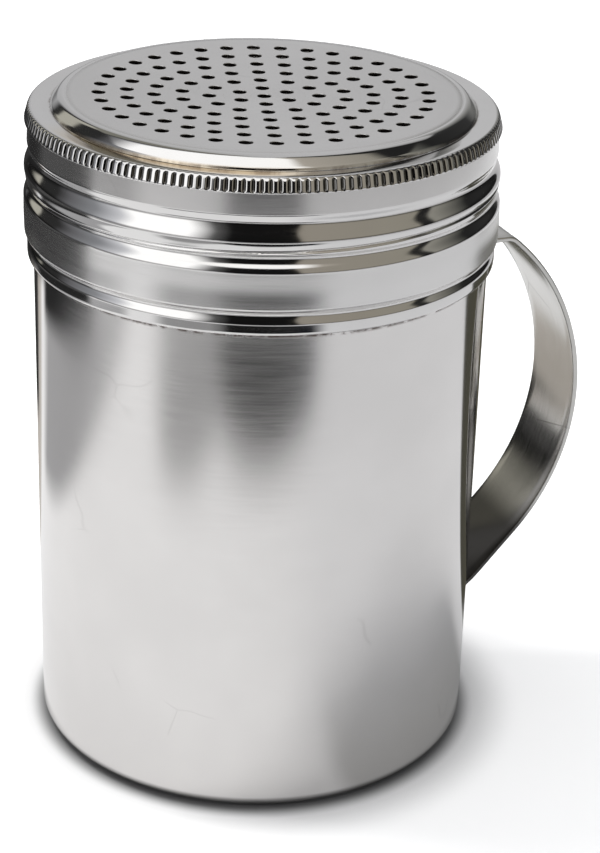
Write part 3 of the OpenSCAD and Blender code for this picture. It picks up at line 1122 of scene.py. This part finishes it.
def build_floor():
    """A wide pale floor that takes the shaker's shadow, with a painted contact shadow round the
    base; the steel also sees painted dark patches on it.
    """
    settings = bpy.context.scene.shaker_stage
    bm = bmesh.new()
    reach = 6.0
    bm.faces.new([bm.verts.new((x * reach, y * reach, 0))
                  for x, y in ((-1, -1), (1, -1), (1, 1), (-1, 1))])
    material, tree, shader = new_material("Floor")
    floor = place_mesh(bm, "Floor", material)
    turn, x, y, _ = studio_place(tree)
    distance = length_of(tree, x, y)
    white = (1.0, 1.0, 1.0, 1.0)
    seen = white
    for shape, depth, tone in PAINTED_REFLECTION_PATCHES:
        patch = times(tree, floor_lobe(tree, turn, distance, *shape), depth)
        seen = mix_colour(tree, patch, seen, tone + (1.0,))
    # only glossy rays see the painted reflection patches; the camera and the lamps see plain white
    path = tree.nodes.new("ShaderNodeLightPath")
    seen = mix_colour(tree, path.outputs["Is Glossy Ray"], white, seen)
    # painted shadow: the floor's own colour is darkened to 0.22 at 34.2 mm from the axis, back to
    # full by 37.6 mm, for every ray
    painted_contact_shadow = span(tree, distance, 34.2 * MM, 37.6 * MM, 0.22, 1.0)
    paint = tree.nodes.new("ShaderNodeMix")
    paint.data_type = "RGBA"
    paint.blend_type = "MULTIPLY"
    paint.inputs[0].default_value = 1.0
    shade = [times(tree, painted_contact_shadow, part) for part in (0.93, 0.93, 0.935)]
    tree.links.new(combine(tree, *shade), paint.inputs[6])
    tree.links.new(seen, paint.inputs[7])
    tree.links.new(paint.outputs[2], shader.inputs["Base Color"])
    shader.inputs["Emission Color"].default_value = white
    # painted shade: the camera's white glow is held back near the base, nothing at 34.6 mm from the
    # axis, full at 46 mm
    glow = span(tree, distance, 34.6 * MM, 46 * MM, 0.0, settings.floor_glow)
    tree.links.new(times(tree, path.outputs["Is Camera Ray"], glow),
                   shader.inputs["Emission Strength"])
    shader.inputs["Roughness"].default_value = 0.9
    shader.inputs["Specular IOR Level"].default_value = 0.0
    return floor


# painted reflections, a glowing studio wall that only the steel sees: azimuth in degrees and tone,
# below CEILING_FROM and above
WALL_TONES = (
    (-180, (0.62, 0.62, 0.63)), (-152, (0.50, 0.50, 0.51)), (-145, (0.03, 0.03, 0.03)),
    (-110, (0.03, 0.03, 0.03)), (-100, (0.16, 0.16, 0.17)), (-84, (0.30, 0.31, 0.33)),
    (-70, (0.75, 0.76, 0.80)), (-62, (1.45, 1.45, 1.45)), (-34, (1.45, 1.45, 1.45)),
    (-22, (0.12, 0.12, 0.12)), (-14, (0.008, 0.008, 0.008)), (17.5, (0.008, 0.008, 0.008)),
    (18.5, (0.36, 0.33, 0.28)), (76, (0.33, 0.31, 0.26)), (78, (0.02, 0.02, 0.02)),
    (84, (0.02, 0.02, 0.02)), (86, (0.34, 0.33, 0.29)), (104, (0.10, 0.10, 0.09)),
    (110, (0.02, 0.02, 0.02)), (142, (0.04, 0.04, 0.04)), (156, (0.30, 0.30, 0.29)),
    (172, (0.62, 0.62, 0.63)),
)
CEILING_TONES = (
    (-180, (0.62, 0.62, 0.63)), (-156, (0.50, 0.50, 0.50)), (-148, (0.24, 0.235, 0.205)),
    (-120, (0.24, 0.235, 0.205)), (-112, (0.04, 0.04, 0.04)), (-102, (0.30, 0.30, 0.31)),
    (-90, (1.35, 1.35, 1.35)), (22, (1.35, 1.34, 1.32)), (32, (0.50, 0.46, 0.40)),
    (78, (0.36, 0.34, 0.29)), (86, (0.02, 0.02, 0.02)), (116, (0.02, 0.02, 0.02)),
    (128, (0.45, 0.45, 0.45)), (150, (0.62, 0.62, 0.63)),
)
CEILING_FROM = 0.80
BEAM_TONE = (0.52, 0.505, 0.44, 1.0)
BLACK = (0.0, 0.0, 0.0, 1.0)


def tone_ramp(tree, share, tones):
    """A colour ramp round the wall from these azimuths and tones."""
    ramp = tree.nodes.new("ShaderNodeValToRGB")
    ramp.color_ramp.elements.remove(ramp.color_ramp.elements[1])
    for index, (azimuth, tone) in enumerate(tones):
        place = azimuth / 360 + 0.5
        stop = ramp.color_ramp.elements[0] if index == 0 else ramp.color_ramp.elements.new(place)
        stop.position = place
        stop.color = tone + (1.0,)
    tree.links.new(share, ramp.inputs[0])
    return ramp.outputs[0]


def build_wall_ring():
    """A round glowing studio wall with a ceiling that only the steel sees and that lights nothing,
    painted reflections whose tones are set by azimuth.
    """
    distance, height, hole, columns = 0.9, 1.45, 0.15, 96
    bm = bmesh.new()
    revolve(bm, [(distance, 0.0), (distance, height), (hole, height)], columns)
    material, tree, shader = new_material("Painted reflection wall")
    wall = place_mesh(bm, "Painted reflection wall", material)
    turn, _, _, level = studio_place(tree)
    share = plus(tree, maths(tree, "DIVIDE", turn, TURN), 0.5)
    above = span(tree, level, CEILING_FROM - 0.03, CEILING_FROM + 0.03)
    # a tan beam and a darker foot on the wall, also painted reflections
    beam = times(tree, span(tree, turn, math.radians(-141), math.radians(-138)),
                 span(tree, turn, math.radians(-127), math.radians(-124), 1.0, 0.0))
    beam = times(tree, beam, span(tree, level, 0.06, 0.13))
    foot = span(tree, level, 0.03, 0.20, 0.35, 1.0)
    low = mix_colour(tree, foot, BLACK, tone_ramp(tree, share, WALL_TONES))
    low = mix_colour(tree, beam, low, BEAM_TONE)
    tone = mix_colour(tree, above, low, tone_ramp(tree, share, CEILING_TONES))
    shader.inputs["Base Color"].default_value = BLACK
    shader.inputs["Specular IOR Level"].default_value = 0.0
    # painted reflections: the wall glows with these tones and lights nothing, and only glossy rays
    # see it
    tree.links.new(tone, shader.inputs["Emission Color"])
    shader.inputs["Emission Strength"].default_value = 1.0
    wall.visible_camera = False
    wall.visible_shadow = False
    wall.visible_diffuse = False
    return wall


def build_world():
    """White behind the object for the camera, a mid-grey room in reflections."""
    settings = bpy.context.scene.shaker_stage
    world = bpy.data.worlds.new("Studio")
    bpy.context.scene.world = world
    world.use_nodes = True
    tree = world.node_tree
    tree.nodes.clear()
    output = tree.nodes.new("ShaderNodeOutputWorld")
    mix = tree.nodes.new("ShaderNodeMixShader")
    path = tree.nodes.new("ShaderNodeLightPath")
    room = tree.nodes.new("ShaderNodeBackground")
    white = tree.nodes.new("ShaderNodeBackground")
    room.inputs["Color"].default_value = (0.97, 0.98, 1.0, 1.0)
    room.inputs["Strength"].default_value = settings.surround
    white.inputs["Color"].default_value = (1.0, 1.0, 1.0, 1.0)
    white.inputs["Strength"].default_value = 1.0
    tree.links.new(path.outputs["Is Camera Ray"], mix.inputs[0])
    tree.links.new(room.outputs[0], mix.inputs[1])
    tree.links.new(white.outputs[0], mix.inputs[2])
    tree.links.new(mix.outputs[0], output.inputs[0])
    bpy.context.scene.view_settings.view_transform = "Standard"


def build_stage():
    """Floor, painted reflection wall, world, lamps and camera."""
    settings = bpy.context.scene.shaker_stage
    build_floor()
    build_wall_ring()
    build_world()
    area_light("Key", -112, 0.46, 0.95, (0.30, 0.30), settings.key_power, (1.0, 0.99, 0.97))
    area_light("Top", -60, 0.05, 1.2, (1.2, 1.2), settings.fill_power, (1.0, 1.0, 1.0))
    build_camera()


# ---------------------------------------------------------------- operators


class SHAKER_OT_cup(bpy.types.Operator):
    """Build the brushed cup with its threaded neck"""

    bl_idname = "shaker.cup"
    bl_label = "Build Cup"

    def execute(self, context):
        build_cup()
        return {"FINISHED"}


class SHAKER_OT_lid(bpy.types.Operator):
    """Build the lid: punched disc, crown, knurled edge and threaded wall"""

    bl_idname = "shaker.lid"
    bl_label = "Build Lid"

    def execute(self, context):
        material = lid_steel(cup_measures()["edge"], context.scene.shaker_lid)
        build_disc(material)
        build_crown(material)
        build_knurl(material)
        build_wall(material)
        return {"FINISHED"}


class SHAKER_OT_handle(bpy.types.Operator):
    """Build the strap handle and its weld marks"""

    bl_idname = "shaker.handle"
    bl_label = "Build Handle"

    def execute(self, context):
        build_handle()
        build_welds()
        return {"FINISHED"}


class SHAKER_OT_stage(bpy.types.Operator):
    """Build the floor, the painted reflection wall, the lights and the camera"""

    bl_idname = "shaker.stage"
    bl_label = "Build Stage"

    def execute(self, context):
        build_stage()
        return {"FINISHED"}


class SHAKER_PT_panel(bpy.types.Panel):
    """Buttons that build the shaker's looks"""

    bl_idname = "SHAKER_PT_panel"
    bl_label = "Spice Shaker"
    bl_space_type = "VIEW_3D"
    bl_region_type = "UI"
    bl_category = "Shaker"

    def draw(self, context):
        for step in STEPS:
            self.layout.operator(step.bl_idname)


STEPS = (SHAKER_OT_cup, SHAKER_OT_lid, SHAKER_OT_handle, SHAKER_OT_stage)
CLASSES = tuple(SETTINGS.values()) + STEPS + (SHAKER_PT_panel,)


def register():
    """Registers the classes and their settings on the scene."""
    for made in CLASSES:
        bpy.utils.register_class(made)
    for name, group in SETTINGS.items():
        setattr(bpy.types.Scene, name, bpy.props.PointerProperty(type=group))


def unregister():
    """Removes the settings and the classes."""
    for name in SETTINGS:
        delattr(bpy.types.Scene, name)
    for made in reversed(CLASSES):
        bpy.utils.unregister_class(made)


def main():
    """Builds everything through the operators."""
    register()
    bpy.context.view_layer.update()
    turned_finish()
    for step in STEPS:
        call = getattr(bpy.ops.shaker, step.bl_idname.split(".")[1])
        if call() != {"FINISHED"}:
            raise RuntimeError("the step " + step.bl_label + " didn't finish")


if __name__ == "__main__":
    main()
